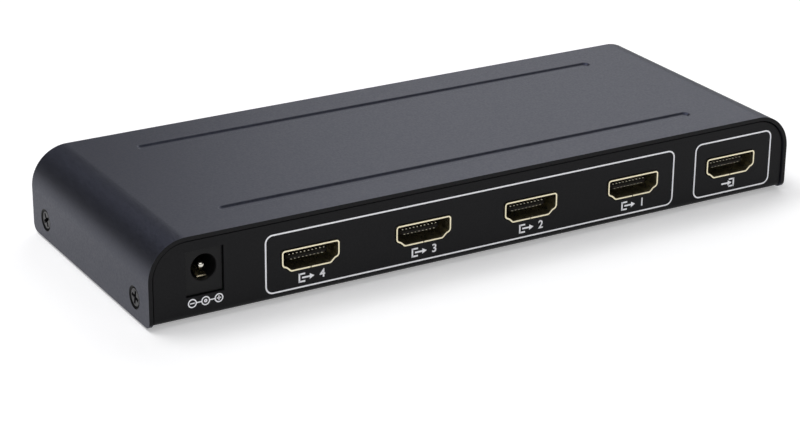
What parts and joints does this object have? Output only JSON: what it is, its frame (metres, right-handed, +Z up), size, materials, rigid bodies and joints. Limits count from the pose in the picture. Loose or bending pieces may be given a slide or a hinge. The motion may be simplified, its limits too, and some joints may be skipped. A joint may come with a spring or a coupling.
{
  "type": "video splitter",
  "caption": "Slim video splitter box: round-shouldered steel cover with pressed beads, rear row of video ports and a power jack, front status lamps and a rocker power switch.",
  "frame": {"origin": "middle of the footprint, on the surface that the feet stand on", "axes": "+Z up, +X along the length towards the power jack's end, -Y the front panel with lamps and switch, +Y the rear panel with the ports"},
  "size_m": [0.1784, 0.0706, 0.0213],
  "materials": {
    "cover_coat": "fine-grained powder coat, charcoal",
    "panel_coat": "satin powder coat, near black",
    "foot_rubber": "matt",
    "screw_black": "black oxide",
    "board_laminate": "green solder mask on glass laminate",
    "plated_steel": "tinned",
    "port_plating": "pale gold plating",
    "port_moulding": "moulded, dark",
    "contact_gold": "gold flash",
    "jack_moulding": "moulded, black",
    "nickel": "bright nickel",
    "spring_brass": "rolled",
    "lamp_green": "tinted clear resin",
    "lamp_red": "tinted clear resin",
    "switch_moulding": "moulded, black",
    "spring_steel": "wire",
    "wire_cover": "extruded, red",
    "chip_moulding": "moulded, black",
    "pad_silicone": "soft, grey-blue",
    "sink_aluminium": "black anodised",
    "can_aluminium": "drawn can",
    "ferrite": "sintered"
  },
  "bodies": {
    "case": {"top_cover": "cover_coat", "base_tray": "panel_coat", "rubber_feet": "foot_rubber", "cover_screws": "screw_black", "main_board": "board_laminate", "board_standoffs": "plated_steel", "board_screws": "plated_steel", "output_4_shell": "port_plating", "output_4_tongue": "port_moulding", "output_4_contacts": "contact_gold", "output_3_shell": "port_plating", "output_3_tongue": "port_moulding", "output_3_contacts": "contact_gold", "output_2_shell": "port_plating", "output_2_tongue": "port_moulding", "output_2_contacts": "contact_gold", "output_1_shell": "port_plating", "output_1_tongue": "port_moulding", "output_1_contacts": "contact_gold", "input_shell": "port_plating", "input_tongue": "port_moulding", "input_contacts": "contact_gold", "jack_housing": "jack_moulding", "jack_pin": "nickel", "jack_spring": "spring_brass", "lamp_input": "lamp_green", "lamp_output_1": "lamp_green", "lamp_output_2": "lamp_green", "lamp_output_3": "lamp_green", "lamp_output_4": "lamp_green", "lamp_power": "lamp_red", "lamp_leads": "plated_steel", "switch_body": "switch_moulding", "switch_terminals": "plated_steel", "switch_wires": "wire_cover", "splitter_chip": "chip_moulding", "chip_leads": "plated_steel", "thermal_pad": "pad_silicone", "heat_sink": "sink_aluminium", "regulator": "chip_moulding", "power_inductor": "ferrite", "capacitors": "can_aluminium", "memory_chips": "chip_moulding", "crystal": "can_aluminium", "port_filters": "chip_moulding"},
    "rocker": {"switch_rocker": "switch_moulding", "switch_plunger": "spring_brass", "switch_spring": "spring_steel"},
    "contact_blade": {"switch_blade": "spring_brass"}
  },
  "joints": [
    {"name": "rocker_hinge", "type": "hinge", "parent": "case", "child": "rocker", "pos_m": [0.05075, -0.0322, 0.0133], "axis": [0, 0, 1], "range_deg": [0, 20]},
    {"name": "blade_hinge", "type": "hinge", "parent": "case", "child": "contact_blade", "pos_m": [0.05075, -0.02275, 0.0133], "axis": [0, 0, 1], "range_deg": [-12, 0]}
  ],
  "couplings": [
    {"joint": "blade_hinge", "follows": "rocker_hinge", "ratio": -0.6}
  ]
}
